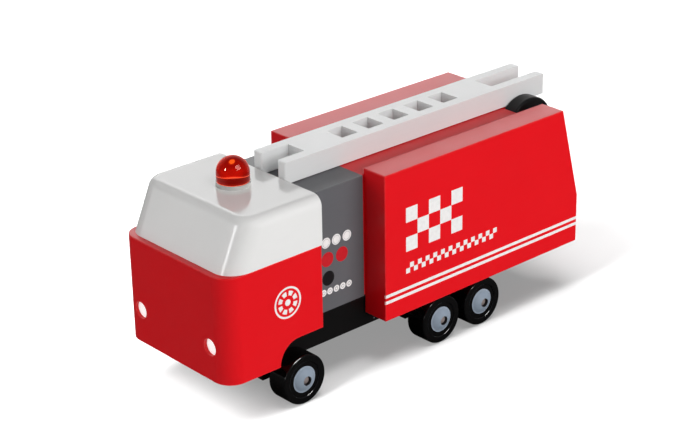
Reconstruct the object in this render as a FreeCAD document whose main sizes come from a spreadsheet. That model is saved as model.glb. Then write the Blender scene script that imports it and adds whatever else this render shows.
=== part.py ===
# A painted wooden toy fire engine, about 217 mm long, as a parametric FreeCAD document.
# Units are millimetres. X runs forward, Y to the engine's left, Z up.
# The origin is on the floor, at the middle of the engine's length and width.
import FreeCAD, Part
import os
import Sketcher

vector = FreeCAD.Vector
doc = FreeCAD.newDocument("ToyFireEngine")

# ------------------------------------------------------------------ driving sizes
# Names ending in _x, _y or _z are places in the engine's frame. The rest are sizes.
SIZES = {
    "wheels and axles": {
        "tyre_radius": 11.6,
        "tyre_width": 10.6,
        "tyre_middle_y": 29.8,
        "tyre_shoulder": 0.9,
        "tyre_inner_round": 0.6,
        "tyre_lip_radius": 8.2,
        "tyre_dish_depth": 0.7,
        "hub_radius": 6.1,
        "hub_inset": 0.5,
        "hub_rim_width": 0.5,
        "hub_crown": 2.1,
        "hub_well_radius": 2.15,
        "hub_bore_radius": 1.55,
        "axle_radius": 1.5,
        "axle_cap_radius": 1.75,
        "axle_cap_inner_y": 34.75,
        "axle_cap_length": 1.3,
        "front_axle_x": 66.2,
        "rear_axle_x": -16.5,
        "tail_axle_x": -43.1,
    },
    "chassis": {
        "chassis_half_width": 24.0,
        "chassis_low_z": 18.1,
        "chassis_top_z": 33.5,
        "chassis_front_x": 96.0,
        "chassis_rear_x": -98.0,
        "block_half_width": 17.0,
        "block_low_z": 7.4,
        "front_block_reach": 8.9,
        "rear_block_reach": 5.9,
    },
    "body": {
        "core_half_width": 24.4,
        "core_front_x": 22.2,
        "core_rear_x": -100.0,
        "core_top_z": 91.4,
        "pump_half_width": 25.2,
        "web_half_width": 10.3,
        "web_nose_radius": 10.2,
        "disc_recess_radius": 15.2,
        "panel_thickness": 13.6,
        "panel_front_x": 21.1,
        "panel_rear_x": -104.4,
        "panel_top_rear_x": -92.7,
        "panel_low_z": 24.6,
        "panel_knee_z": 48.7,
        "panel_top_z": 94.3,
        "edge_round": 0.5,
    },
    "cab": {
        "cab_rear_x": 55.6,
        "cab_front_x": 108.3,
        "cab_half_width": 35.5,
        "cab_low_z": 22.9,
        "cab_top_z": 72.2,
        "cab_corner_radius": 8.7,
        "arch_centre_x": 69.2,
        "roof_rear_x": 54.6,
        "roof_front_x": 105.3,
        "roof_brow_x": 95.3,
        "roof_top_z": 94.8,
        "roof_corner_radius": 9.8,
        "roof_edge_round": 5.0,
        "lamp_y": 24.0,
        "lamp_z": 38.5,
        "lamp_radius": 3.9,
        "lamp_recess_depth": 3.0,
        "lamp_disc_thickness": 1.4,
        "beacon_x": 73.4,
        "beacon_ring_radius": 7.6,
        "beacon_ring_height": 1.8,
        "beacon_dome_radius": 7.3,
        "beacon_shoulder_height": 5.5,
    },
    "ladder": {
        "ladder_front_x": 53.5,
        "ladder_rear_x": -108.3,
        "ladder_low_z": 91.8,
        "ladder_top_z": 101.7,
        "rail_inner_y": 5.45,
        "rail_outer_y": 10.6,
        "rail_nose_round": 0.8,
        "rail_corner_round": 1.0,
        "infill_front_x": 38.0,
        "infill_rear_x": -78.0,
        "first_gap_x": 11.3,
        "gap_pitch": 15.6,
        "gap_length": 9.3,
        "pivot_x": -91.9,
        "pivot_z": 81.2,
        "pivot_disc_radius": 14.4,
        "pivot_disc_thickness": 7.9,
        "pivot_disc_round": 1.3,
        "pivot_bore_radius": 2.05,
        "pivot_axle_radius": 2.0,
        "pivot_cap_radius": 3.2,
        "pivot_cap_inner_y": 18.75,
        "pivot_cap_length": 1.6,
    },
}
GAP_COUNT = 5
CUT_OVERRUN = "2"
CENTRE = 3  # the sketcher's number for the centre point of an arc or circle

sheet = doc.addObject("Spreadsheet::Sheet", "Sizes")


def fill_sheet():
    row = 1
    for group, sizes in SIZES.items():
        sheet.set(f"A{row}", group)
        row += 1
        for name, size in sizes.items():
            sheet.set(f"A{row}", name)
            sheet.set(f"B{row}", str(size))
            sheet.setAlias(f"B{row}", name)
            row += 1
    doc.recompute()


def in_sheet(expression):
    """The same expression with every size name pointing at the sheet."""
    words = []
    word = ""
    for letter in expression + " ":
        if letter.isalnum() or letter == "_" or letter == ".":
            word += letter
            continue
        known = any(word in sizes for sizes in SIZES.values())
        words.append(f"Sizes.{word}" if known else word)
        words.append(letter)
        word = ""
    return "".join(words).strip()


def number(expression):
    """What an expression in size names comes to, worked out by the document."""
    return float(sheet.evalExpression(expression))


# ------------------------------------------------------------------ building helpers
def bind(thing, settings):
    """Tie properties to expressions. settings maps property path to expression."""
    for path, expression in settings.items():
        thing.setExpression(path, in_sheet(expression))


def new_body(label, x="0", y="0", z="0", half_turn=False):
    body = doc.addObject("PartDesign::Body", label)
    body.Label = label
    if half_turn:
        body.Placement = FreeCAD.Placement(vector(), FreeCAD.Rotation(vector(0, 0, 1), 180))
    bind(body, {"Placement.Base.x": x, "Placement.Base.y": y, "Placement.Base.z": z})
    return body


def plane_of(body, role):
    return next(plane for plane in body.Origin.OriginFeatures if plane.Role == role)


def new_sketch(body, name, role):
    sketch = body.newObject("Sketcher::SketchObject", name)
    sketch.AttachmentSupport = [(plane_of(body, role), "")]
    sketch.MapMode = "FlatFace"
    return sketch


def outline(body, name, role, corners, arcs=None):
    """A closed outline. corners holds (across, up) pairs of expressions.

    arcs maps a corner's index to the (across, up) centre of the arc, of less than half
    a turn, that takes the place of the straight side leaving that corner.
    """
    arcs = arcs or {}
    sketch = new_sketch(body, name, role)
    places = [place_of(corner) for corner in corners]
    count = len(corners)
    for index, start in enumerate(places):
        end = places[(index + 1) % count]
        if index in arcs:
            sketch.addGeometry(short_arc(start, end, place_of(arcs[index])))
        else:
            sketch.addGeometry(Part.LineSegment(start, end))
    starts = [1 if side_starts_at(sketch, index, place) else 2 for index, place in enumerate(places)]
    for index in range(count):
        following = (index + 1) % count
        sketch.addConstraint(Sketcher.Constraint(
            "Coincident", index, 3 - starts[index], following, starts[following]))
    for index, (across, up) in enumerate(corners):
        pin(sketch, "DistanceX", index, starts[index], across)
        pin(sketch, "DistanceY", index, starts[index], up)
    for index, centre in arcs.items():
        chord = places[(index + 1) % count] - places[index]
        if abs(chord.x) > abs(chord.y):
            pin(sketch, "DistanceY", index, CENTRE, centre[1])
        else:
            pin(sketch, "DistanceX", index, CENTRE, centre[0])
    if sketch.solve() != 0:
        raise RuntimeError(f"{body.Label}: {name} cannot be solved")
    return sketch


def place_of(pair):
    return vector(number(pair[0]), number(pair[1]), 0)


def short_arc(start, end, centre):
    """The shorter arc between two places about centre, run anticlockwise."""
    outward = (start + end) * 0.5 - centre
    middle = centre + outward.normalize() * (start - centre).Length
    if (start - centre).cross(end - centre).z < 0:
        start, end = end, start
    return Part.ArcOfCircle(start, middle, end)


def pin(sketch, kind, index, point, expression):
    """Hold one coordinate of a point of the sketch at an expression."""
    constraint = Sketcher.Constraint(kind, -1, 1, index, point, number(expression))
    place = sketch.addConstraint(constraint)
    sketch.setExpression(f"Constraints[{place}]", in_sheet(expression))


def side_starts_at(sketch, index, place):
    side = sketch.Geometry[index]
    return (side.StartPoint - place).Length < (side.EndPoint - place).Length


def box_outline(body, name, role, low_across, high_across, low_up, high_up):
    corners = [
        (low_across, low_up),
        (high_across, low_up),
        (high_across, high_up),
        (low_across, high_up),
    ]
    return outline(body, name, role, corners)


def circle_outline(body, name, role, across, up, radius):
    sketch = new_sketch(body, name, role)
    centre = place_of((across, up))
    sketch.addGeometry(Part.Circle(centre, vector(0, 0, 1), number(radius)))
    pin(sketch, "DistanceX", 0, CENTRE, across)
    pin(sketch, "DistanceY", 0, CENTRE, up)
    place = sketch.addConstraint(Sketcher.Constraint("Radius", 0, number(radius)))
    sketch.setExpression(f"Constraints[{place}]", in_sheet(radius))
    return sketch


def extrude(body, kind, name, sketch, length, symmetric=True, reverse=False):
    """A Pad or a Pocket of a sketch."""
    feature = body.newObject(f"PartDesign::{kind}", name)
    feature.Profile = sketch
    feature.SideType = "Symmetric" if symmetric else "One side"
    feature.Reversed = reverse
    bind(feature, {"Length": length})
    doc.recompute()
    return feature


def pocket(body, name, sketch, length, symmetric=True, reverse=False):
    before = body.Shape.Volume
    feature = extrude(body, "Pocket", name, sketch, length, symmetric, reverse)
    if feature.Shape.Volume >= before - 1e-6:
        raise RuntimeError(f"{body.Label}: {name} removes nothing")
    return feature


def revolve(body, name, sketch):
    """A full turn of a sketch about its own upright axis."""
    feature = body.newObject("PartDesign::Revolution", name)
    feature.Profile = sketch
    feature.ReferenceAxis = (sketch, ["V_Axis"])
    feature.Angle = 360
    doc.recompute()
    return feature


def is_sharp(shape, edge):
    """Whether the two faces at an edge meet at an angle."""
    faces = shape.ancestorsOfType(edge, Part.Face)
    if len(faces) != 2:
        return False
    middle = edge.valueAt((edge.FirstParameter + edge.LastParameter) / 2)
    normals = [face.normalAt(*face.Surface.parameter(middle)) for face in faces]
    return abs(normals[0].dot(normals[1])) < 0.97


def fillet(body, name, radius, wanted):
    """Round the sharp edges whose bounding box and middle pass the wanted test."""
    base = body.Tip
    names = []
    for index, edge in enumerate(base.Shape.Edges, start=1):
        if wanted(edge.BoundBox) and is_sharp(base.Shape, edge):
            names.append(f"Edge{index}")
    if not names:
        raise RuntimeError(f"{body.Label}: {name} finds no edge")
    feature = body.newObject("PartDesign::Fillet", name)
    feature.Base = (base, names)
    bind(feature, {"Radius": radius})
    doc.recompute()
    return feature


def near(value, target, slack=0.01):
    return abs(value - target) < slack


def flat_at(box, axis, expression):
    """Whether an edge's box lies wholly at one place on an axis."""
    place = number(expression)
    low = getattr(box, f"{axis}Min")
    high = getattr(box, f"{axis}Max")
    return near(low, place, 0.05) and near(high, place, 0.05)


# ------------------------------------------------------------------ wheels and axles
def tyre(label, x, side):
    """A rubber ring about Y. Its outer face, dished around the hub, looks away from the engine."""
    body = new_body(label, x, f"{side} * tyre_middle_y", "tyre_radius", half_turn=side < 0)
    dish_floor = "tyre_width / 2 - tyre_dish_depth"
    corners = [
        ("hub_radius", "-tyre_width / 2"),
        ("tyre_radius - tyre_inner_round", "-tyre_width / 2"),
        ("tyre_radius", "-tyre_width / 2 + tyre_inner_round"),
        ("tyre_radius", "tyre_width / 2 - tyre_shoulder"),
        ("tyre_radius - tyre_shoulder", "tyre_width / 2"),
        ("tyre_lip_radius + tyre_dish_depth", "tyre_width / 2"),
        ("tyre_lip_radius", dish_floor),
        ("hub_radius", dish_floor),
    ]
    arcs = {
        1: ("tyre_radius - tyre_inner_round", "-tyre_width / 2 + tyre_inner_round"),
        3: ("tyre_radius - tyre_shoulder", "tyre_width / 2 - tyre_shoulder"),
        5: ("tyre_lip_radius + tyre_dish_depth", dish_floor),
    }
    revolve(body, "Ring", outline(body, "Section", "XY_Plane", corners, arcs))
    return body


def hub(label, x, side):
    """A domed hub pressed into its tyre, bored to turn on the axle.

    The dome springs from a narrow flat rim and ends at a well for the axle's cap.
    """
    body = new_body(label, x, f"{side} * tyre_middle_y", "tyre_radius", half_turn=side < 0)
    face = "tyre_width / 2 - hub_inset"
    foot = "(hub_radius - hub_rim_width)"
    sunk = f"({foot}^2 - hub_well_radius^2 - hub_crown^2) / (2 * hub_crown)"
    corners = [
        ("hub_bore_radius", f"-({face})"),
        ("hub_radius", f"-({face})"),
        ("hub_radius", face),
        (foot, face),
        ("hub_well_radius", f"{face} + hub_crown"),
        ("hub_well_radius", face),
        ("hub_bore_radius", face),
    ]
    section = outline(body, "Section", "XY_Plane", corners, {3: ("0", f"{face} - {sunk}")})
    revolve(body, "Disc", section)
    return body


def capped_axle(label, x, z, radius, cap_radius, cap_inner, cap_length):
    """A steel rod along Y with a domed cap on each end."""
    body = new_body(label, x, "0", z)
    cap_edge = f"{cap_inner} + {cap_length} / 2"
    tip = f"{cap_inner} + {cap_length}"
    dome_radius = f"({cap_radius}^2 + ({cap_length} / 2)^2) / {cap_length}"
    corners = [
        ("0", f"-({tip})"),
        (cap_radius, f"-({cap_edge})"),
        (cap_radius, f"-{cap_inner}"),
        (radius, f"-{cap_inner}"),
        (radius, cap_inner),
        (cap_radius, cap_inner),
        (cap_radius, cap_edge),
        ("0", tip),
    ]
    arcs = {
        0: ("0", f"{dome_radius} - ({tip})"),
        6: ("0", f"{tip} - {dome_radius}"),
    }
    revolve(body, "Rod", outline(body, "Section", "XY_Plane", corners, arcs))
    return body


# ------------------------------------------------------------------ chassis
def plain_block(label, low_x, high_x, half_width, low_z, high_z):
    """A square-edged wooden block, centred on the engine's middle plane."""
    box = doc.addObject("Part::Box", label)
    box.Label = label
    bind(box, {
        "Length": f"{high_x} - ({low_x})",
        "Width": f"2 * {half_width}",
        "Height": f"{high_z} - {low_z}",
        "Placement.Base.x": low_x,
        "Placement.Base.y": f"-{half_width}",
        "Placement.Base.z": low_z,
    })
    return box


def bored_block(label, low_x, high_x, half_width, low_z, high_z, bores_x):
    """A wooden block with a bore across it for each axle that it carries."""
    body = new_body(label)
    section = box_outline(body, "Side", "XZ_Plane", low_x, high_x, low_z, high_z)
    extrude(body, "Pad", "Block", section, f"2 * {half_width}")
    for index, bore_x in enumerate(bores_x, start=1):
        bore = circle_outline(body, f"Bore{index}Circle", "XZ_Plane", bore_x, "tyre_radius", "axle_radius")
        pocket(body, f"Bore{index}", bore, f"2 * {half_width} + {CUT_OVERRUN}")
    return body


# ------------------------------------------------------------------ body
def side_panel(label, side):
    body = new_body(label, "0", f"{side} * (core_half_width + panel_thickness / 2)")
    corners = [
        ("panel_front_x", "panel_low_z"),
        ("panel_front_x", "panel_top_z"),
        ("panel_top_rear_x", "panel_top_z"),
        ("panel_rear_x", "panel_knee_z"),
        ("panel_rear_x", "panel_low_z"),
    ]
    extrude(body, "Pad", "Board", outline(body, "Side", "XZ_Plane", corners), "panel_thickness")
    fillet(body, "Edges", "edge_round", lambda box: True)
    return body


def body_core():
    """The block between the side panels.

    Its upper rear is recessed on both sides for the pivot discs. The web left between
    them carries the ladder's axle and ends in a round nose about it.
    """
    body = new_body("body_core")
    rise = "(core_top_z - pivot_z)"
    recess_lip_x = f"pivot_x + sqrt(disc_recess_radius^2 - {rise}^2)"
    nose_foot_z = "pivot_z - sqrt(web_nose_radius^2 - (core_rear_x - pivot_x)^2)"
    main = [
        ("core_front_x", "chassis_top_z"),
        ("core_front_x", "core_top_z"),
        (recess_lip_x, "core_top_z"),
        ("pivot_x", "pivot_z - disc_recess_radius"),
        ("core_rear_x", "pivot_z - disc_recess_radius"),
        ("core_rear_x", "chassis_top_z"),
    ]
    main_side = outline(body, "MainSide", "XZ_Plane", main, {2: ("pivot_x", "pivot_z")})
    extrude(body, "Pad", "Main", main_side, "2 * core_half_width")
    web = [
        ("pivot_x + disc_recess_radius + 2", "chassis_top_z + 5"),
        ("pivot_x + disc_recess_radius + 2", "core_top_z"),
        ("pivot_x", "pivot_z + web_nose_radius"),
        ("core_rear_x", nose_foot_z),
        ("core_rear_x", "chassis_top_z + 5"),
    ]
    web_side = outline(body, "WebSide", "XZ_Plane", web, {2: ("pivot_x", "pivot_z")})
    extrude(body, "Pad", "Web", web_side, "2 * web_half_width")
    bore = circle_outline(body, "AxleCircle", "XZ_Plane", "pivot_x", "pivot_z", "pivot_axle_radius")
    pocket(body, "AxleBore", bore, f"2 * web_half_width + {CUT_OVERRUN}")
    return body


def pump_block():
    """The grey block between the cab and the core, stepped back under the roof."""
    body = new_body("pump_block")
    corners = [
        ("core_front_x", "chassis_top_z"),
        ("cab_rear_x", "chassis_top_z"),
        ("cab_rear_x", "cab_top_z"),
        ("roof_rear_x", "cab_top_z"),
        ("roof_rear_x", "core_top_z"),
        ("core_front_x", "core_top_z"),
    ]
    extrude(body, "Pad", "Block", outline(body, "Side", "XZ_Plane", corners), "2 * pump_half_width")
    return body


# ------------------------------------------------------------------ cab
def cab_body():
    """The cab block, notched over the front wheels and channelled for the chassis board."""
    body = new_body("cab_body")
    straight_y = "cab_half_width - cab_corner_radius"
    straight_x = "cab_front_x - cab_corner_radius"
    plan = [
        ("cab_rear_x", "-cab_half_width"),
        (straight_x, "-cab_half_width"),
        ("cab_front_x", f"-({straight_y})"),
        ("cab_front_x", straight_y),
        (straight_x, "cab_half_width"),
        ("cab_rear_x", "cab_half_width"),
    ]
    plan_arcs = {
        1: (straight_x, f"-({straight_y})"),
        3: (straight_x, straight_y),
    }
    plan_sketch = outline(body, "Plan", "XY_Plane", plan, plan_arcs)
    bind(plan_sketch, {"AttachmentOffset.Base.z": "cab_low_z"})
    extrude(body, "Pad", "Block", plan_sketch, "cab_top_z - cab_low_z", symmetric=False)
    arch_radius = "chassis_top_z - cab_low_z"
    below = f"cab_low_z - {CUT_OVERRUN}"
    arch = [
        (f"cab_rear_x - {CUT_OVERRUN}", below),
        (f"cab_rear_x - {CUT_OVERRUN}", "chassis_top_z"),
        ("arch_centre_x", "chassis_top_z"),
        (f"arch_centre_x + {arch_radius}", "cab_low_z"),
        (f"arch_centre_x + {arch_radius}", below),
    ]
    arch_side = outline(body, "ArchSide", "XZ_Plane", arch, {2: ("arch_centre_x", "cab_low_z")})
    pocket(body, "WheelArch", arch_side, f"2 * cab_half_width + {CUT_OVERRUN}")
    channel = box_outline(
        body, "ChannelSide", "XZ_Plane", "arch_centre_x", "chassis_front_x", below, "chassis_top_z")
    pocket(body, "ChassisChannel", channel, "2 * chassis_half_width")
    for index, side in enumerate((1, -1), start=1):
        mouth = circle_outline(
            body, f"Lamp{index}Circle", "YZ_Plane", f"{side} * lamp_y", "lamp_z", "lamp_radius")
        bind(mouth, {"AttachmentOffset.Base.z": "cab_front_x"})
        doc.recompute()
        pocket(body, f"Lamp{index}Recess", mouth, "lamp_recess_depth", symmetric=False)
    fillet(body, "TopEdge", "edge_round", lambda box: flat_at(box, "Z", "cab_top_z")
           and not flat_at(box, "X", "cab_rear_x"))
    return body


def cab_roof():
    """The roof block with its raked windscreen, rounded corners and soft upper edges."""
    body = new_body("cab_roof")
    corners = [
        ("roof_rear_x", "cab_top_z"),
        ("roof_front_x", "cab_top_z"),
        ("roof_brow_x", "roof_top_z"),
        ("roof_rear_x", "roof_top_z"),
    ]
    extrude(body, "Pad", "Block", outline(body, "Side", "XZ_Plane", corners), "2 * cab_half_width")
    brow_x = number("roof_brow_x")
    front_x = number("roof_front_x")
    fillet(body, "FrontCorners", "roof_corner_radius",
           lambda box: near(box.XMin, brow_x, 0.1) and near(box.XMax, front_x, 0.1))
    fillet(body, "UpperEdges", "roof_edge_round",
           lambda box: flat_at(box, "Z", "roof_top_z") and not flat_at(box, "X", "roof_rear_x"))
    fillet(body, "RearEdges", "edge_round",
           lambda box: flat_at(box, "X", "roof_rear_x") and not flat_at(box, "Z", "cab_top_z"))
    return body


def headlight(label, side):
    """A plain disc at the bottom of its recess in the cab's front."""
    disc = doc.addObject("Part::Cylinder", label)
    disc.Label = label
    disc.Placement = FreeCAD.Placement(vector(), FreeCAD.Rotation(vector(0, 1, 0), 90))
    bind(disc, {
        "Radius": "lamp_radius",
        "Height": "lamp_disc_thickness",
        "Placement.Base.x": "cab_front_x - lamp_recess_depth",
        "Placement.Base.y": f"{side} * lamp_y",
        "Placement.Base.z": "lamp_z",
    })
    return disc


def beacon_base():
    ring = doc.addObject("Part::Cylinder", "beacon_base")
    ring.Label = "beacon_base"
    bind(ring, {
        "Radius": "beacon_ring_radius",
        "Height": "beacon_ring_height",
        "Placement.Base.x": "beacon_x",
        "Placement.Base.z": "roof_top_z",
    })
    return ring


def beacon_dome():
    """A short cylinder under a half ball."""
    body = new_body("beacon_dome", "beacon_x", "0", "roof_top_z")
    corners = [
        ("0", "beacon_ring_height"),
        ("beacon_dome_radius", "beacon_ring_height"),
        ("beacon_dome_radius", "beacon_shoulder_height"),
        ("0", "beacon_shoulder_height + beacon_dome_radius"),
    ]
    section = outline(body, "Section", "XZ_Plane", corners, {2: ("0", "beacon_shoulder_height")})
    revolve(body, "Dome", section)
    return body


# ------------------------------------------------------------------ ladder
def ladder_rail(label, side):
    """A square rail with its front end rounded at the top and at both upright corners."""
    middle_y = f"{side} * (rail_inner_y + rail_outer_y) / 2"
    body = new_body(label, "0", middle_y)
    bend_x = "ladder_front_x - rail_nose_round"
    bend_z = "ladder_top_z - rail_nose_round"
    corners = [
        ("ladder_rear_x", "ladder_low_z"),
        ("ladder_front_x", "ladder_low_z"),
        ("ladder_front_x", bend_z),
        (bend_x, "ladder_top_z"),
        ("ladder_rear_x", "ladder_top_z"),
    ]
    section = outline(body, "Side", "XZ_Plane", corners, {2: (bend_x, bend_z)})
    extrude(body, "Pad", "Rail", section, "rail_outer_y - rail_inner_y")
    corner_x = "ladder_front_x - rail_corner_round"
    past_x = f"ladder_front_x + {CUT_OVERRUN}"
    for index, hand in enumerate((1, -1), start=1):
        face_y = f"{hand} * (rail_outer_y - rail_inner_y) / 2"
        corner_y = f"{face_y} - {hand} * rail_corner_round"
        past_y = f"{face_y} + {hand} * {CUT_OVERRUN}"
        waste = [
            (corner_x, face_y),
            (corner_x, past_y),
            (past_x, past_y),
            (past_x, corner_y),
            ("ladder_front_x", corner_y),
        ]
        plan = outline(body, f"Corner{index}Plan", "XY_Plane", waste, {4: (corner_x, corner_y)})
        pocket(body, f"Corner{index}", plan, f"2 * ladder_top_z + {CUT_OVERRUN}")
    return body


def ladder_infill():
    """The blocks between the rails: a long one at each end and four rungs."""
    gap_half = "gap_length / 2"
    pieces = [("ladder_front_block", f"first_gap_x + {gap_half}", "infill_front_x")]
    for index in range(1, GAP_COUNT):
        rear = f"first_gap_x - {index} * gap_pitch + {gap_half}"
        front = f"first_gap_x - {index - 1} * gap_pitch - {gap_half}"
        pieces.append((f"ladder_rung_{index}", rear, front))
    last_gap_rear = f"first_gap_x - {GAP_COUNT - 1} * gap_pitch - {gap_half}"
    pieces.append(("ladder_rear_block", "infill_rear_x", last_gap_rear))
    return [
        plain_block(label, rear, front, "rail_inner_y", "ladder_low_z", "ladder_top_z")
        for label, rear, front in pieces
    ]


def pivot_disc(label, side):
    """A disc fixed to a rail's outer face, bored to turn on the ladder's axle."""
    middle_y = f"{side} * (rail_outer_y + pivot_disc_thickness / 2)"
    body = new_body(label, "pivot_x", middle_y, "pivot_z")
    half = "pivot_disc_thickness / 2"
    corners = [
        ("pivot_bore_radius", f"-{half}"),
        ("pivot_disc_radius - pivot_disc_round", f"-{half}"),
        ("pivot_disc_radius", f"-{half} + pivot_disc_round"),
        ("pivot_disc_radius", f"{half} - pivot_disc_round"),
        ("pivot_disc_radius - pivot_disc_round", half),
        ("pivot_bore_radius", half),
    ]
    arcs = {
        1: ("pivot_disc_radius - pivot_disc_round", f"-{half} + pivot_disc_round"),
        3: ("pivot_disc_radius - pivot_disc_round", f"{half} - pivot_disc_round"),
    }
    revolve(body, "Disc", outline(body, "Section", "XY_Plane", corners, arcs))
    return body


# ------------------------------------------------------------------ the whole engine
def build_engine():
    """Every sub-part of the engine, in a list."""
    parts = []
    sides = (("left", 1), ("right", -1))
    axles = (("front", "front_axle_x"), ("rear", "rear_axle_x"), ("tail", "tail_axle_x"))
    for place, x in axles:
        parts.append(capped_axle(
            f"axle_{place}", x, "tyre_radius",
            "axle_radius", "axle_cap_radius", "axle_cap_inner_y", "axle_cap_length"))
        for name, side in sides:
            parts.append(tyre(f"tyre_{place}_{name}", x, side))
            parts.append(hub(f"hub_{place}_{name}", x, side))
    parts.append(plain_block(
        "chassis_board", "chassis_rear_x", "chassis_front_x",
        "chassis_half_width", "chassis_low_z", "chassis_top_z"))
    parts.append(bored_block(
        "axle_block_front", "front_axle_x - front_block_reach", "front_axle_x + front_block_reach",
        "block_half_width", "block_low_z", "chassis_low_z", ["front_axle_x"]))
    parts.append(bored_block(
        "axle_block_rear", "tail_axle_x - rear_block_reach", "rear_axle_x + rear_block_reach",
        "block_half_width", "block_low_z", "chassis_low_z", ["rear_axle_x", "tail_axle_x"]))
    parts.append(body_core())
    parts.append(pump_block())
    parts.append(cab_body())
    parts.append(cab_roof())
    parts.append(beacon_base())
    parts.append(beacon_dome())
    for name, side in sides:
        parts.append(side_panel(f"side_panel_{name}", side))
        parts.append(headlight(f"headlight_{name}", side))
        parts.append(ladder_rail(f"ladder_rail_{name}", side))
        parts.append(pivot_disc(f"pivot_disc_{name}", side))
    parts.extend(ladder_infill())
    parts.append(capped_axle(
        "ladder_axle", "pivot_x", "pivot_z",
        "pivot_axle_radius", "pivot_cap_radius", "pivot_cap_inner_y", "pivot_cap_length"))
    return parts


def check_document():
    for thing in doc.Objects:
        if "Invalid" in thing.State or "Error" in thing.State:
            raise RuntimeError(f"{thing.Label} failed: {thing.State}")


def write_parts(parts):
    os.makedirs("parts", exist_ok=True)
    for part in parts:
        shape = part.Shape
        if shape.isNull() or not shape.isValid() or len(shape.Solids) != 1:
            raise RuntimeError(f"{part.Label} is not one valid solid")
        shape.exportStep(f"parts/{part.Label}.step")
        print(f"{part.Label}: {shape.Volume / 1000:.2f} cm3")


fill_sheet()
engine = build_engine()
doc.recompute()
check_document()
write_parts(engine)
print(f"{len(engine)} parts, {sum(part.Shape.Volume for part in engine) / 1000:.1f} cm3 in all")
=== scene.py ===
import math

import bmesh
import bpy
from mathutils import Matrix, Vector


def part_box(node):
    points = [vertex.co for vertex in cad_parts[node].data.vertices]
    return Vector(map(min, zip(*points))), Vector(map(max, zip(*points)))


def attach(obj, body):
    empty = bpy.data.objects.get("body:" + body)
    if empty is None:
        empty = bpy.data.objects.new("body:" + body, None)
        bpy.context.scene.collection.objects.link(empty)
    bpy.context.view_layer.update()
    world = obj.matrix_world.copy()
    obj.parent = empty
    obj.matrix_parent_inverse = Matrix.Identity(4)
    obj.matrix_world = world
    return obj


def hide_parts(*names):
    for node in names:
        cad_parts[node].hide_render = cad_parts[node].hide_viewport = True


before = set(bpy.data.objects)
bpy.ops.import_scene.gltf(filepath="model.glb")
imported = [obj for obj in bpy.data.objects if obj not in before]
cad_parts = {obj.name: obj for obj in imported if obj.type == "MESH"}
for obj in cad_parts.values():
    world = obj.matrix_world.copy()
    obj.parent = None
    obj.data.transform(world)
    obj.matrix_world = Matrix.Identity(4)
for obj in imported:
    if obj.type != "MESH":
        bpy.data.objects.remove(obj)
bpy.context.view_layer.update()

MM = 0.001
MICRON = 0.000001
TURN = 2 * math.pi

# ------------------------------------------------------------------ camera
# Fitted to the edges of the blocks in the photograph.
CAMERA_TARGET = Vector((0.0074, 0.0, 0.0582))
CAMERA_AZIMUTH = math.radians(48.24)
CAMERA_ELEVATION = math.radians(23.89)
CAMERA_ROLL = math.radians(-0.96)
CAMERA_DISTANCE = 0.8597
CAMERA_LENS = 97.57
CAMERA_SENSOR = 36.0
CAMERA_CLIP = (0.02, 20.0)


def make_camera():
    """A camera that looks back at its target, and rolls about that line."""
    back = Vector(
        (
            math.cos(CAMERA_ELEVATION) * math.cos(CAMERA_AZIMUTH),
            math.cos(CAMERA_ELEVATION) * math.sin(CAMERA_AZIMUTH),
            math.sin(CAMERA_ELEVATION),
        )
    )
    right = Vector((0, 0, 1)).cross(back).normalized()
    up = back.cross(right)
    rolled_right = math.cos(CAMERA_ROLL) * right + math.sin(CAMERA_ROLL) * up
    rolled_up = -math.sin(CAMERA_ROLL) * right + math.cos(CAMERA_ROLL) * up
    turn = Matrix((rolled_right, rolled_up, back)).transposed().to_4x4()
    data = bpy.data.cameras.new("camera")
    data.sensor_width = CAMERA_SENSOR
    data.lens = CAMERA_LENS
    data.clip_start, data.clip_end = CAMERA_CLIP
    camera = bpy.data.objects.new("camera", data)
    bpy.context.scene.collection.objects.link(camera)
    camera.matrix_world = (
        Matrix.Translation(CAMERA_TARGET + CAMERA_DISTANCE * back) @ turn
    )
    bpy.context.scene.camera = camera


make_camera()

# ------------------------------------------------------------------ node helpers
NOISE_LOW, NOISE_HIGH = 0.3, 0.7  # nearly all of a noise lies between these
# cosines of the angle that a bevel turns the normal by, on a flat and on an edge
EDGE_COSINES = (0.999, 0.93)
EDGE_SAMPLES = 4
MIX_A, MIX_B, MIX_RESULT = 6, 7, 2  # the Mix node's sockets for colours


def connect(tree, value, socket):
    """Links a socket to the socket value, or sets it to the plain value."""
    if isinstance(value, bpy.types.NodeSocket):
        tree.links.new(value, socket)
    else:
        socket.default_value = value


def maths(tree, operation, *values):
    made = tree.nodes.new("ShaderNodeMath")
    made.operation = operation
    for value, socket in zip(values, made.inputs):
        connect(tree, value, socket)
    return made.outputs[0]


def scaled(tree, value, factor):
    return maths(tree, "MULTIPLY", value, factor)


def vector_maths(tree, operation, *values):
    """A vector operation whose result is a number."""
    made = tree.nodes.new("ShaderNodeVectorMath")
    made.operation = operation
    for value, socket in zip(values, made.inputs):
        connect(tree, value, socket)
    return made.outputs["Value"]


def split_xyz(tree, vector):
    split = tree.nodes.new("ShaderNodeSeparateXYZ")
    tree.links.new(vector, split.inputs[0])
    return split.outputs["X"], split.outputs["Y"], split.outputs["Z"]


def off_axis(tree, x, y):
    """How far a point is from where x and y are 0."""
    squares = maths(
        tree, "ADD", maths(tree, "MULTIPLY", x, x), maths(tree, "MULTIPLY", y, y)
    )
    return maths(tree, "SQRT", squares)


def mix_colour(tree, factor, a, b):
    made = tree.nodes.new("ShaderNodeMix")
    made.data_type = "RGBA"
    connect(tree, factor, made.inputs["Factor"])
    for value, socket in ((a, made.inputs[MIX_A]), (b, made.inputs[MIX_B])):
        connect(
            tree,
            value if isinstance(value, bpy.types.NodeSocket) else (*value, 1.0),
            socket,
        )
    return made.outputs[MIX_RESULT]


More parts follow.
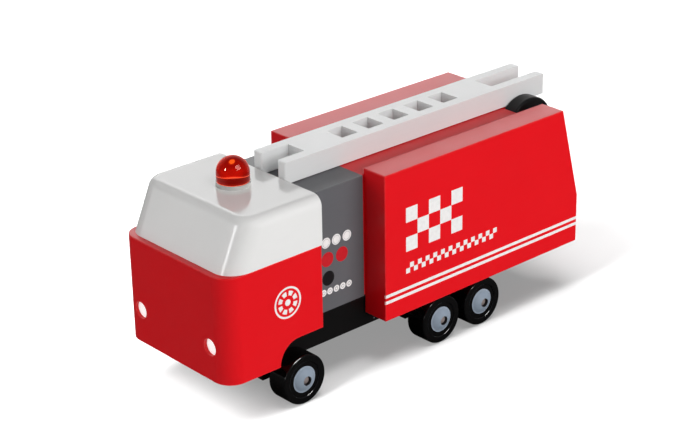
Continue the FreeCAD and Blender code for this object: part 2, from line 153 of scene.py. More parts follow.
def remap(tree, value, low, high, to_low=0.0, to_high=1.0):
    """Maps low to high onto to_low to to_high, and holds the ends beyond them."""
    made = tree.nodes.new("ShaderNodeMapRange")
    made.clamp = True
    connect(tree, value, made.inputs["Value"])
    for name, number in (
        ("From Min", low),
        ("From Max", high),
        ("To Min", to_low),
        ("To Max", to_high),
    ):
        made.inputs[name].default_value = number
    return made.outputs["Result"]


def noise(tree, place, scale, detail=2.0, roughness=0.5, stretch=(1, 1, 1)):
    """Noise of about scale features a metre, and stretch times that on each axis."""
    mapping = tree.nodes.new("ShaderNodeMapping")
    mapping.inputs["Scale"].default_value = stretch
    tree.links.new(place, mapping.inputs["Vector"])
    made = tree.nodes.new("ShaderNodeTexNoise")
    made.inputs["Scale"].default_value = scale
    made.inputs["Detail"].default_value = detail
    made.inputs["Roughness"].default_value = roughness
    tree.links.new(mapping.outputs["Vector"], made.inputs["Vector"])
    return made.outputs["Fac"]


def spread(tree, cloud, to_low=0.0, to_high=1.0):
    """A noise stretched to fill the range to_low to to_high."""
    return remap(tree, cloud, NOISE_LOW, NOISE_HIGH, to_low, to_high)


def specks(tree, place, scale, share, size):
    """A mask of round specks: a share of the cells hold one, size cells in radius."""
    cells = tree.nodes.new("ShaderNodeTexVoronoi")
    cells.inputs["Scale"].default_value = scale
    tree.links.new(place, cells.inputs["Vector"])
    near = maths(tree, "LESS_THAN", cells.outputs["Distance"], size)
    split = tree.nodes.new("ShaderNodeSeparateColor")
    tree.links.new(cells.outputs["Color"], split.inputs["Color"])
    chosen = maths(tree, "LESS_THAN", split.outputs["Red"], share)
    return maths(tree, "MULTIPLY", near, chosen)


def edge_mask(tree, radius):
    """1 on edges sharper than the radius, 0 on flats."""
    bevel = tree.nodes.new("ShaderNodeBevel")
    bevel.samples = EDGE_SAMPLES
    bevel.inputs["Radius"].default_value = radius
    geometry = tree.nodes.new("ShaderNodeNewGeometry")
    cosine = vector_maths(
        tree, "DOT_PRODUCT", bevel.outputs["Normal"], geometry.outputs["Normal"]
    )
    return remap(tree, cosine, *EDGE_COSINES)


def new_material(name):
    """A material with a Principled shader, and its object coordinates."""
    material = bpy.data.materials.new(name)
    material.use_nodes = True
    tree = material.node_tree
    shader = tree.nodes["Principled BSDF"]
    coordinates = tree.nodes.new("ShaderNodeTexCoord")
    return material, tree, shader, coordinates.outputs["Object"]


def set_roughness(tree, shader, cloud, low, high):
    """Roughness from low to high by a noise."""
    connect(tree, spread(tree, cloud, low, high), shader.inputs["Roughness"])


def set_bump(tree, shader, height, distance):
    """A bump that is distance metres high where height is 1."""
    bump = tree.nodes.new("ShaderNodeBump")
    bump.inputs["Strength"].default_value = 1.0
    bump.inputs["Distance"].default_value = distance
    tree.links.new(height, bump.inputs["Height"])
    tree.links.new(bump.outputs["Normal"], shader.inputs["Normal"])


# ------------------------------------------------------------------ materials
WOOD_GRAIN = (1.0, 12.0, 12.0)  # fibres run along x
NO_GRAIN = (1, 1, 1)
SHADE_RANGE = (0.35, 0.65)
CLOUD_SHARE, FIBRE_SHARE = 0.65, 0.35
PAINT_EDGE = 0.7 * MM
PAINT_IOR = 1.47
# the painted edge highlight: its patchiness, how far it pales an edge, and how much
# rougher the edge gets
EDGE_PATCHY = (0.25, 1.0)
EDGE_HIGHLIGHT_SHARE = 0.35
EDGE_ROUGHER = 0.12
DUST_SIZE = 0.12
PAINT_DUST_COLOUR, PAINT_DUST_SHARE = (0.7, 0.7, 0.7), 0.35
BUMP_UNIT = 0.1 * MM


def painted_wood(
    name,
    colour,
    edge_highlight_colour,
    rough,
    specular,
    tone,
    grain=WOOD_GRAIN,
    grain_depth=12 * MICRON,
    peel_depth=6 * MICRON,
    dust=0.0,
):
    """Sprayed paint on sanded wood.

    The grain just telegraphs through, and edges sharper than PAINT_EDGE turn paler in
    patches, towards their own colour, as a painted edge highlight, and a little
    rougher.
    tone is how far the colour strays, dust the share of cells that hold a pale speck.
    """
    material, tree, shader, place = new_material(name)
    cloud = noise(tree, place, scale=28.0, detail=3.0)
    fibres = noise(tree, place, scale=90.0, detail=4.0, roughness=0.6, stretch=grain)
    peel = noise(tree, place, scale=1600.0, detail=1.0)
    darker = tuple(c * (1.0 - tone) for c in colour)
    lighter = tuple(min(1.0, c * (1.0 + tone)) for c in colour)
    shade = maths(
        tree,
        "ADD",
        scaled(tree, cloud, CLOUD_SHARE),
        scaled(tree, fibres, FIBRE_SHARE),
    )
    base = mix_colour(tree, remap(tree, shade, *SHADE_RANGE), darker, lighter)
    # a painted edge highlight: sharp edges turn paler in patches
    edge = edge_mask(tree, PAINT_EDGE)
    patches = noise(tree, place, scale=260.0, detail=3.0)
    broken = spread(tree, patches, *EDGE_PATCHY)
    painted_edge_highlight = maths(tree, "MULTIPLY", edge, broken)
    base = mix_colour(tree, scaled(tree, painted_edge_highlight, EDGE_HIGHLIGHT_SHARE), base, edge_highlight_colour)
    if dust:
        grains = specks(tree, place, scale=330.0, share=dust, size=DUST_SIZE)
        base = mix_colour(
            tree, scaled(tree, grains, PAINT_DUST_SHARE), base, PAINT_DUST_COLOUR
        )
    connect(tree, base, shader.inputs["Base Color"])
    gloss = spread(
        tree, noise(tree, place, scale=70.0, detail=3.0, roughness=0.6), *rough
    )
    gloss = maths(tree, "ADD", gloss, scaled(tree, painted_edge_highlight, EDGE_ROUGHER))
    connect(tree, gloss, shader.inputs["Roughness"])
    shader.inputs["IOR"].default_value = PAINT_IOR
    shader.inputs["Specular IOR Level"].default_value = specular
    height = maths(
        tree,
        "ADD",
        scaled(tree, fibres, grain_depth / BUMP_UNIT),
        scaled(tree, peel, peel_depth / BUMP_UNIT),
    )
    set_bump(tree, shader, height, BUMP_UNIT)
    return material


INK_COVER_RANGE = (0.3, 0.6)
INK_THINNED = 0.9


def printed_ink(name, colour):
    """Screen-printed ink: flat, and slightly uneven in cover and gloss."""
    material, tree, shader, place = new_material(name)
    cover = noise(tree, place, scale=420.0, detail=3.0, roughness=0.6)
    thin = tuple(c * INK_THINNED for c in colour)
    base = mix_colour(tree, remap(tree, cover, *INK_COVER_RANGE), thin, colour)
    connect(tree, base, shader.inputs["Base Color"])
    set_roughness(tree, shader, noise(tree, place, scale=150.0), 0.37, 0.47)
    shader.inputs["Specular IOR Level"].default_value = 0.3
    set_bump(tree, shader, noise(tree, place, scale=2200.0, detail=1.0), 6 * MICRON)
    return material


RUBBER_DUST_COLOUR, RUBBER_DUST_SHARE = (0.6, 0.6, 0.6), 0.25


def tyre_rubber():
    """Black moulded rubber with a low sheen and a few pale specks of dust."""
    material, tree, shader, place = new_material("tyre_rubber")
    mottle = noise(tree, place, scale=120.0, detail=4.0, roughness=0.6)
    base = mix_colour(tree, mottle, (0.0015, 0.0014, 0.0015), (0.003, 0.0027, 0.0029))
    dust = specks(tree, place, scale=420.0, share=0.02, size=DUST_SIZE)
    base = mix_colour(
        tree, scaled(tree, dust, RUBBER_DUST_SHARE), base, RUBBER_DUST_COLOUR
    )
    connect(tree, base, shader.inputs["Base Color"])
    sheen = noise(tree, place, scale=300.0, detail=3.0)
    set_roughness(tree, shader, sheen, 0.085, 0.115)
    shader.inputs["IOR"].default_value = 1.5
    shader.inputs["Specular IOR Level"].default_value = 0.5
    set_bump(tree, shader, noise(tree, place, scale=1500.0), 2 * MICRON)
    return material


WELL_INSIDE, WELL_OUTSIDE = 0.177, 0.181  # in widths of the hub
HUB_EDGE = 0.4 * MM
# the painted highlight on the hub's edges, and the painted shade in its well
HUB_EDGE_HIGHLIGHT_COLOUR, HUB_EDGE_HIGHLIGHT_SHARE = (0.5, 0.55, 0.62), 0.5
HUB_WELL_SHADE_COLOUR = (0.012, 0.012, 0.014)


def well_shade_mask(tree):
    """1 inside the hub's well and on its wall, where shade is painted, 0 outside it."""
    coordinates = tree.nodes.new("ShaderNodeTexCoord")
    across, _, up = split_xyz(tree, coordinates.outputs["Generated"])
    x = maths(tree, "SUBTRACT", across, 0.5)
    z = maths(tree, "SUBTRACT", up, 0.5)
    return remap(tree, off_axis(tree, x, z), WELL_INSIDE, WELL_OUTSIDE, 1.0, 0.0)


def hub_plastic():
    """Moulded steel-blue plastic, its edges paler as a painted highlight, and its well
    black as painted shade.
    """
    material, tree, shader, place = new_material("hub_plastic")
    flow = noise(tree, place, scale=160.0, detail=3.0, roughness=0.55)
    base = mix_colour(
        tree, spread(tree, flow), (0.225, 0.275, 0.34), (0.265, 0.318, 0.385)
    )
    edge = edge_mask(tree, HUB_EDGE)
    base = mix_colour(tree, scaled(tree, edge, HUB_EDGE_HIGHLIGHT_SHARE), base, HUB_EDGE_HIGHLIGHT_COLOUR)
    # painted shade: the well and its wall turn near black
    base = mix_colour(tree, well_shade_mask(tree), base, HUB_WELL_SHADE_COLOUR)
    connect(tree, base, shader.inputs["Base Color"])
    set_roughness(tree, shader, noise(tree, place, scale=600.0), 0.36, 0.46)
    shader.inputs["Specular IOR Level"].default_value = 0.4
    set_bump(tree, shader, noise(tree, place, scale=1300.0), 6 * MICRON)
    return material


def turned_steel():
    """Dull, slightly stained steel of the axles."""
    material, tree, shader, place = new_material("turned_steel")
    stain = noise(tree, place, scale=420.0, detail=4.0, roughness=0.6)
    base = mix_colour(
        tree, spread(tree, stain), (0.27, 0.225, 0.213), (0.37, 0.315, 0.30)
    )
    connect(tree, base, shader.inputs["Base Color"])
    shader.inputs["Metallic"].default_value = 0.4
    dull = noise(tree, place, scale=900.0, detail=3.0)
    set_roughness(tree, shader, dull, 0.45, 0.6)
    set_bump(tree, shader, noise(tree, place, scale=2400.0), 12 * MICRON)
    return material


def glowing_headlight_disc():
    """The white plastic discs that stand for the headlights, with a painted glow: they
    give off light though they are no lamps.
    """
    material, tree, shader, place = new_material("glowing_headlight_disc")
    cloud = noise(tree, place, scale=350.0)
    base = mix_colour(tree, cloud, (0.86, 0.86, 0.85), (0.93, 0.93, 0.92))
    connect(tree, base, shader.inputs["Base Color"])
    set_roughness(tree, shader, noise(tree, place, scale=500.0), 0.18, 0.26)
    # the painted glow
    shader.inputs["Emission Color"].default_value = (1.0, 0.99, 0.97, 1)
    shader.inputs["Emission Strength"].default_value = 0.5
    set_bump(tree, shader, noise(tree, place, scale=900.0, detail=1.0), 6 * MICRON)
    return material


CAST_PLASTIC_IOR = 1.49


def clear_plastic():
    """Clear cast plastic, slightly clouded."""
    material, tree, shader, place = new_material("clear_plastic")
    flow = noise(tree, place, scale=240.0)
    base = mix_colour(tree, flow, (0.80, 0.78, 0.74), (0.9, 0.89, 0.87))
    connect(tree, base, shader.inputs["Base Color"])
    set_roughness(tree, shader, noise(tree, place, scale=500.0), 0.03, 0.06)
    shader.inputs["Alpha"].default_value = 0.5
    shader.inputs["IOR"].default_value = CAST_PLASTIC_IOR
    set_bump(tree, shader, noise(tree, place, scale=420.0, detail=1.0), 10 * MICRON)
    return material


HOT_DIRECTION = (0.33, 0.38, 0.86)
HOT_COSINES = (0.975, 0.988)
HOT_RAGGED = 0.02


def hot_spot(tree):
    """A painted highlight: 1 in a ragged round spot where the surface faces
    HOT_DIRECTION, 0 elsewhere.
    """
    geometry = tree.nodes.new("ShaderNodeNewGeometry")
    cosine = vector_maths(
        tree, "DOT_PRODUCT", geometry.outputs["True Normal"], HOT_DIRECTION
    )
    rough_edge = noise(tree, geometry.outputs["Position"], scale=900.0)
    ragged = scaled(tree, maths(tree, "SUBTRACT", rough_edge, 0.5), HOT_RAGGED)
    return remap(tree, maths(tree, "ADD", cosine, ragged), *HOT_COSINES)


# heights above the dome's foot
BRIGHT_FOOT_TOP, DEEP_RED_FROM = 0.8 * MM, 1.5 * MM
GLOW_FROM, GLOW_FULL = 2.6 * MM, 6.0 * MM
# the paler colour of the painted bright band just above the foot
BRIGHT_FOOT_COLOUR = (0.8, 0.012, 0.003)
# the painted glow and the painted hot spot: light the dome gives off though it is no
# lamp
GLOW_COLOUR, GLOW_STRENGTH = (1.0, 0.004, 0.001), 0.13
HOT_COLOUR, HOT_STRENGTH = (1.0, 0.13, 0.012), 0.75


def beacon_skin(foot):
    """Red cast plastic of the dome whose foot is at z = foot.

    Just above the foot it is paler, a painted bright band. The glow higher up, and the
    orange hot spot near the top, are painted light for light that the real dome
    gathers.
    """
    material, tree, shader, place = new_material("beacon_red")
    flow = noise(tree, place, scale=240.0)
    base = mix_colour(
        tree, spread(tree, flow), (0.42, 0.0042, 0.0014), (0.48, 0.0054, 0.0018)
    )
    _, _, z = split_xyz(tree, place)
    # a painted bright band: paler just above the foot
    thin = remap(tree, z, foot + BRIGHT_FOOT_TOP, foot + DEEP_RED_FROM, 1.0, 0.0)
    base = mix_colour(tree, thin, base, BRIGHT_FOOT_COLOUR)
    connect(tree, base, shader.inputs["Base Color"])
    glow = remap(tree, z, foot + GLOW_FROM, foot + GLOW_FULL, 0.0, GLOW_STRENGTH)
    hot = hot_spot(tree)
    tint = mix_colour(tree, hot, GLOW_COLOUR, HOT_COLOUR)
    connect(tree, tint, shader.inputs["Emission Color"])
    strength = maths(tree, "ADD", glow, scaled(tree, hot, HOT_STRENGTH))
    connect(tree, strength, shader.inputs["Emission Strength"])
    set_roughness(tree, shader, noise(tree, place, scale=500.0), 0.01, 0.03)
    shader.inputs["Transmission Weight"].default_value = 1.0
    shader.inputs["IOR"].default_value = CAST_PLASTIC_IOR
    shader.inputs["Specular Tint"].default_value = (0.3, 0.15, 0.13, 1)
    set_bump(tree, shader, noise(tree, place, scale=420.0, detail=1.0), 4 * MICRON)
    return material


RIM_FROM, RIM_FULL = 0.81, 0.88  # in radii of the dome
# the painted glow: the colour of its bright rim, and its strength in the middle and on
# the rim
RIM_GLOW_COLOUR = (0.95, 1.0, 0.65)
UNDERSIDE_GLOW_STRENGTHS = (0.6, 1.1)


def beacon_underside_glow(middle, radius):
    """The dome's flat underside, around x = middle, which the dome shows magnified.

    Its painted glow is dark red, with a bright painted band round its rim.
    """
    material, tree, shader, place = new_material("beacon_underside_glow")
    along, y, _ = split_xyz(tree, place)
    x = maths(tree, "SUBTRACT", along, middle)
    rim = remap(tree, off_axis(tree, x, y), RIM_FROM * radius, RIM_FULL * radius)
    patchy = noise(tree, place, scale=260.0)
    glow = mix_colour(tree, patchy, (0.03, 0.0, 0.001), (0.2, 0.001, 0.006))
    glow = mix_colour(tree, rim, glow, RIM_GLOW_COLOUR)
    connect(tree, glow, shader.inputs["Base Color"])
    connect(tree, glow, shader.inputs["Emission Color"])
    strength = remap(tree, rim, 0.0, 1.0, *UNDERSIDE_GLOW_STRENGTHS)
    connect(tree, strength, shader.inputs["Emission Strength"])
    set_roughness(tree, shader, noise(tree, place, scale=500.0), 0.3, 0.4)
    set_bump(tree, shader, noise(tree, place, scale=900.0, detail=1.0), 4 * MICRON)
    return material


RED = painted_wood(
    "red_paint",
    (0.745, 0.0042, 0.0095),
    (0.86, 0.10, 0.10),
    rough=(0.285, 0.335),
    specular=0.27,
    tone=0.02,
    grain_depth=5 * MICRON,
    peel_depth=2.5 * MICRON,
)
WHITE = painted_wood(
    "white_paint",
    (0.79, 0.785, 0.775),
    (0.85, 0.84, 0.82),
    rough=(0.1, 0.17),
    specular=0.5,
    tone=0.012,
    grain_depth=6 * MICRON,
)
LADDER_WHITE = painted_wood(
    "ladder_white_paint",
    (0.78, 0.785, 0.785),
    (0.82, 0.80, 0.79),
    rough=(0.3, 0.4),
    specular=0.4,
    tone=0.02,
)
GREY = painted_wood(
    "grey_paint",
    (0.118, 0.119, 0.128),
    (0.2, 0.2, 0.21),
    rough=(0.34, 0.44),
    specular=0.35,
    tone=0.03,
)
BLACK = painted_wood(
    "black_paint",
    (0.006, 0.0055, 0.0056),
    (0.02, 0.02, 0.02),
    rough=(0.34, 0.44),
    specular=0.22,
    tone=0.06,
    dust=0.02,
)
DISC_BLACK = painted_wood(
    "disc_black_plastic",
    (0.008, 0.008, 0.0084),
    (0.02, 0.02, 0.02),
    rough=(0.3, 0.38),
    specular=0.2,
    tone=0.06,
    grain=NO_GRAIN,
    dust=0.02,
)
TYRE = tyre_rubber()
HUB = hub_plastic()
STEEL = turned_steel()
HEADLIGHT_GLOW = glowing_headlight_disc()
CLEAR = clear_plastic()
DOME_LO, DOME_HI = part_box("beacon_dome")
DOME_RADIUS = (DOME_HI.x - DOME_LO.x) / 2
DOME_MIDDLE = (DOME_LO.x + DOME_HI.x) / 2
BEACON = beacon_skin(DOME_LO.z)
UNDERSIDE_GLOW = beacon_underside_glow(DOME_MIDDLE, DOME_RADIUS)
INK_WHITE = printed_ink("ink_white", (0.86, 0.84, 0.83))
INK_RED = printed_ink("ink_red", (0.56, 0.012, 0.02))
INK_BLACK = printed_ink("ink_black", (0.011, 0.01, 0.011))
INK_GREY = printed_ink("ink_grey", (0.48, 0.48, 0.49))

FINISH = {
    "chassis_board": BLACK,
    "axle_block_front": BLACK,
    "axle_block_rear": BLACK,
    "body_core": RED,
    "pump_block": GREY,
    "cab_body": RED,
    "cab_roof": WHITE,
    "beacon_base": CLEAR,
    "beacon_dome": BEACON,
    "side_panel_left": RED,
    "side_panel_right": RED,
    "headlight_left": HEADLIGHT_GLOW,
    "headlight_right": HEADLIGHT_GLOW,
    "pivot_disc_left": DISC_BLACK,
    "pivot_disc_right": DISC_BLACK,
}
for name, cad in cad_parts.items():
    if name.startswith("tyre_"):
        finish = TYRE
    elif name.startswith("hub_"):
        finish = HUB
    elif "axle" in name and "block" not in name:
        finish = STEEL
    elif name.startswith("ladder_"):
        finish = LADDER_WHITE
    else:
        finish = FINISH[name]
    cad.data.materials.clear()
    cad.data.materials.append(finish)

# ------------------------------------------------------------------ printed marks
INK = 0.00004  # the thickness of a film of ink

# A film cut across, in its own thicknesses: it is sunk into the face, and
# bevelled between its shoulder and its top.
FILM_FOOT, FILM_SHOULDER, FILM_TOP, FILM_BEVEL = -0.5, 0.6, 1.0, 0.6

CIRCLE_STEPS = 48
RING_STEP = math.radians(5)

# the side boards' rounded front and rear edges, and how far a stripe wraps them
BOARD_ROUNDING = 0.6 * MM
STRIPE_WRAP = math.radians(80)
STRIPE_WRAP_STEPS = 8


def add_mesh(name, build, material, body):
    """A piece of mesh that rides a body, built by build in a new bmesh."""
    mesh = bpy.data.meshes.new(name)
    made = bmesh.new()
    build(made)
    bmesh.ops.recalc_face_normals(made, faces=made.faces)
    made.to_mesh(mesh)
    made.free()
    piece = bpy.data.objects.new(name, mesh)
    bpy.context.scene.collection.objects.link(piece)
    mesh.materials.append(material)
    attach(piece, body)
    return piece


def skin(made, loops, around=False, smooth=False):
    """Faces between each closed loop of vertices and the next, or right around."""
    pairs = list(zip(loops, loops[1:]))
    if around:
        pairs.append((loops[-1], loops[0]))
    for low, high in pairs:
        for i in range(len(low)):
            j = (i + 1) % len(low)
            made.faces.new((low[i], low[j], high[j], high[i])).smooth = smooth


def film_section(low, high):
    """A film from low to high cut across, as (place, lift in film thicknesses)."""
    bevel = FILM_BEVEL * INK
    return (
        (low, FILM_FOOT),
        (low, FILM_SHOULDER),
        (low + bevel, FILM_TOP),
        (high - bevel, FILM_TOP),
        (high, FILM_SHOULDER),
        (high, FILM_FOOT),
    )


def ink_film(outlines, side):
    """Films of ink on the face at y = side. An outline is a list of (x, z) points."""
    out = math.copysign(1.0, side)

    def build(made):
        for outline in outlines:
            middle = Vector([sum(places) / len(outline) for places in zip(*outline)])
            loops = []
            for lift, inset in (
                (FILM_FOOT, 0.0),
                (FILM_SHOULDER, 0.0),
                (FILM_TOP, FILM_BEVEL),
            ):
                y = side + out * lift * INK
                loop = []
                for point in outline:
                    flat = Vector(point)
                    flat += (middle - flat).normalized() * inset * INK
                    loop.append(made.verts.new((flat.x, y, flat.y)))
                loops.append(loop)
            skin(made, loops)
            made.faces.new(loops[-1])
            made.faces.new(loops[0])

    return build


def circle(x, z, radius, steps=CIRCLE_STEPS):
    """The points of a circle, as (x, z)."""
    return [
        (
            x + radius * math.cos(TURN * i / steps),
            z + radius * math.sin(TURN * i / steps),
        )
        for i in range(steps)
    ]


def ring_build(rings, side):
    """Flat rings of ink, or parts of rings, on the face at y = side.

    A ring is (x, z, inner radius, outer radius, start, sweep), the last two in
    radians.
    """
    out = math.copysign(1.0, side)

    def build(made):
        for x, z, inner, outer, start, sweep in rings:
            whole = sweep >= TURN
            steps = int(sweep / RING_STEP)
            rows = []
            for i in range(steps if whole else steps + 1):
                angle = start + sweep * i / steps
                c, s = math.cos(angle), math.sin(angle)
                rows.append(
                    [
                        made.verts.new(
                            (x + radius * c, side + out * lift * INK, z + radius * s)
                        )
                        for radius, lift in film_section(inner, outer)
                    ]
                )
            skin(made, rows, around=whole)
            if not whole:
                made.faces.new(rows[0])
                made.faces.new(rows[-1])

    return build


def panel_stripe(name, side, low, high):
    """A stripe along a side board, wrapped over its rounded front and rear edges."""
    panel_lo, panel_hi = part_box(name)
    out = math.copysign(1.0, side)
    turns = [STRIPE_WRAP * i / STRIPE_WRAP_STEPS for i in range(STRIPE_WRAP_STEPS + 1)]
    path = [(panel_hi.x - BOARD_ROUNDING, angle, 1) for angle in reversed(turns)]
    path += [(panel_lo.x + BOARD_ROUNDING, angle, -1) for angle in turns]

    def build(made):
        rows = []
        for centre, angle, end in path:
            nx, ny = end * math.sin(angle), out * math.cos(angle)
            row = []
            for z, lift in film_section(low, high):
                reach = BOARD_ROUNDING + lift * INK
                x = centre + nx * reach
                y = side - out * BOARD_ROUNDING + ny * reach
                row.append(made.verts.new((x, y, z)))
            rows.append(row)
        skin(made, rows)
        made.faces.new(rows[0])
        made.faces.new(rows[-1])

    return build


def side_face(node, hand):
    """The y of a CAD node's outer face on its left or right."""
    low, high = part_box(node)
    return high.y if hand == "left" else low.y


def checker_squares(front, low, size, columns, rows):
    """The outlines of every second square of a grid. The lengths are in mm."""
    squares = []
    for i in range(columns):
        for j in range(rows):
            if (i + j) % 2 == 0:
                x = (front - i * size) * MM
                z = (low + j * size) * MM
                edge = size * MM
                squares.append(
                    [(x, z), (x - edge, z), (x - edge, z + edge), (x, z + edge)]
                )
    return squares


# on each side board: the stripes' z from low to high in mm, and the plain squares
# that stand in for the toy's number and lettering
STRIPES = ((33.0, 34.5), (36.0, 37.5))
CHECKER_BLOCK = {"front": 8.6, "low": 54.7, "size": 7.0, "columns": 5, "rows": 3}
CHECKER_BAND = {"front": 8.6, "low": 44.1, "size": 2.4, "columns": 24, "rows": 2}
for hand in ("left", "right"):
    panel = f"side_panel_{hand}"
    side = side_face(panel, hand)
    for index, (low, high) in enumerate(STRIPES, 1):
        add_mesh(
            f"stripe_{hand}_{index}",
            panel_stripe(panel, side, low * MM, high * MM),
            INK_WHITE,
            "engine",
        )
    for name, grid in (
        ("checker_block", CHECKER_BLOCK),
        ("checker_band", CHECKER_BAND),
    ):
        add_mesh(
            f"{name}_{hand}",
            ink_film(checker_squares(**grid), side),
            INK_WHITE,
            "engine",
        )

# the gauges and outlets printed on the pump block: (x, z, radius) in mm, and the
# grey ring in each white one, its inner and outer radius in radii of the dot
WHITE_DOTS = [(x, 66.1, 2.5) for x in (44.0, 38.1, 31.9)]
SMALL_DOTS = [(x, 42.7, 1.6) for x in (45.9, 42.3, 38.5, 34.8, 31.1)]
RED_DOTS = [(x, 58.15, 3.45) for x in (43.4, 35.0)]
BLACK_DOTS = [(43.1, 49.1, 3.45)]
WHITE_DOT_RING = (0.70, 0.78)
SMALL_DOT_RING = (0.36, 0.56)
for hand in ("left", "right"):
    side = side_face("pump_block", hand)
    for name, dots, ink, slot in (
        ("white", WHITE_DOTS, INK_WHITE, "white_paint"),
        ("small", SMALL_DOTS, INK_WHITE, "white_paint"),
        ("red", RED_DOTS, INK_RED, "red_paint"),
        ("black", BLACK_DOTS, INK_BLACK, "black_paint"),
    ):
        add_mesh(
            f"pump_dots_{name}_{hand}",
            ink_film([circle(x * MM, z * MM, r * MM) for x, z, r in dots], side),
            ink,
            "engine",
        )
    rings = [
        (x * MM, z * MM, r * inner * MM, r * outer * MM, 0.0, TURN)
        for dots, (inner, outer) in (
            (WHITE_DOTS, WHITE_DOT_RING),
            (SMALL_DOTS, SMALL_DOT_RING),
        )
        for x, z, r in dots
    ]
    add_mesh(
        f"pump_dot_rings_{hand}",
        ring_build(rings, side + math.copysign(INK, side)),
        INK_GREY,
        "engine",
    )

# a plain roundel on each side of the cab: a ring, a circle of segments and a dot
ROUNDEL_X, ROUNDEL_Z = 74.9 * MM, 51.9 * MM
ROUNDEL_RING = (6.4 * MM, 7.3 * MM)
ROUNDEL_SEGMENT = (3.2 * MM, 5.3 * MM)
ROUNDEL_SEGMENTS = 8
ROUNDEL_APART = 360 / ROUNDEL_SEGMENTS
ROUNDEL_START, ROUNDEL_SWEEP = 8, 29  # of the first segment, and of each, in degrees
ROUNDEL_DOT = 1.5 * MM
for hand in ("left", "right"):
    side = side_face("cab_body", hand)
    rings = [(ROUNDEL_X, ROUNDEL_Z, *ROUNDEL_RING, 0.0, TURN)]
    for i in range(ROUNDEL_SEGMENTS):
        start = math.radians(ROUNDEL_APART * i + ROUNDEL_START)
        sweep = math.radians(ROUNDEL_SWEEP)
        rings.append((ROUNDEL_X, ROUNDEL_Z, *ROUNDEL_SEGMENT, start, sweep))
    add_mesh(
        f"roundel_{hand}", ring_build(rings, side), INK_WHITE, "engine"
    )
    add_mesh(
        f"roundel_dot_{hand}",
        ink_film([circle(ROUNDEL_X, ROUNDEL_Z, ROUNDEL_DOT)], side),
        INK_WHITE,
        "engine",
    )

# ------------------------------------------------------------------ beacon
DOME_AIR = 0.03 * MM  # between the dome and its ring
DOME_FOOT_ROUNDING = 0.12 * MM
DOME_FOOT_STEPS, DOME_ARC_STEPS, DOME_STEPS = 4, 24, 96


def dome_build(made):
    """The beacon's dome, with its flat underside as a second material."""
    middle = Vector((DOME_MIDDLE, 0.0, 0.0))
    foot = DOME_LO.z + DOME_AIR
    centre = DOME_HI.z - DOME_RADIUS
    rounding = DOME_FOOT_ROUNDING
    profile = []
    for i in range(DOME_FOOT_STEPS + 1):
        angle = math.radians(-90 + 90 * i / DOME_FOOT_STEPS)
        profile.append(
            (
                DOME_RADIUS - rounding + rounding * math.cos(angle),
                foot + rounding + rounding * math.sin(angle),
            )
        )
    profile.append((DOME_RADIUS, (foot + centre) / 2))
    for i in range(DOME_ARC_STEPS):
        angle = math.radians(90 * i / DOME_ARC_STEPS)
        profile.append(
            (
                DOME_RADIUS * math.cos(angle),
                centre + DOME_RADIUS * math.sin(angle),
            )
        )
    loops = [
        [
            made.verts.new(middle + Vector((x, y, z)))
            for x, y in circle(0.0, 0.0, radius, DOME_STEPS)
        ]
        for radius, z in profile
    ]
    top = made.verts.new(middle + Vector((0.0, 0.0, DOME_HI.z)))
    skin(made, loops, smooth=True)
    for a, b in zip(loops[-1], loops[-1][1:] + loops[-1][:1]):
        made.faces.new((a, b, top)).smooth = True
    made.faces.new(list(reversed(loops[0]))).material_index = 1


dome = add_mesh("beacon_lens", dome_build, BEACON, "engine")
dome.data.materials.append(UNDERSIDE_GLOW)
dome.visible_shadow = False
dome.visible_diffuse = False
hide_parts("beacon_dome")

# ------------------------------------------------------------------ floor and world
FLOOR_SIZE = 6.0
# the floor's greys: to the camera, in glossy reflections, and to bounced light
FLOOR_SEEN, FLOOR_MIRRORED, FLOOR_BOUNCE = 0.45, 0.02, 0.13
# its glow to the camera, up to FLOOR_NEAR from the middle and from FLOOR_FAR on
FLOOR_GLOW_NEAR, FLOOR_GLOW_FAR = 0.29, 1.0
FLOOR_NEAR, FLOOR_FAR = 0.3, 0.8
WORLD_STRENGTH = 0.13
# The backdrop shows in glossy reflections only on the side away from STUDIO_SIDE.
STUDIO_SIDE = (0.67, 0.74, 0.0)
STUDIO_COSINES = (-0.9, -0.6)
STUDIO_GLOSS = 0.5


def diffuse(tree, level):
    made = tree.nodes.new("ShaderNodeBsdfDiffuse")
    made.inputs["Color"].default_value = (level, level, level, 1)
    return made.outputs[0]


def mix_shader(tree, factor, a, b):
    made = tree.nodes.new("ShaderNodeMixShader")
    for value, socket in zip((factor, a, b), made.inputs):
        tree.links.new(value, socket)
    return made.outputs[0]


def seen_ray(tree, path):
    """1 for a ray from the camera or through the dome, 0 for any other."""
    return maths(
        tree,
        "MAXIMUM",
        path.outputs["Is Camera Ray"],
        path.outputs["Is Transmission Ray"],
    )


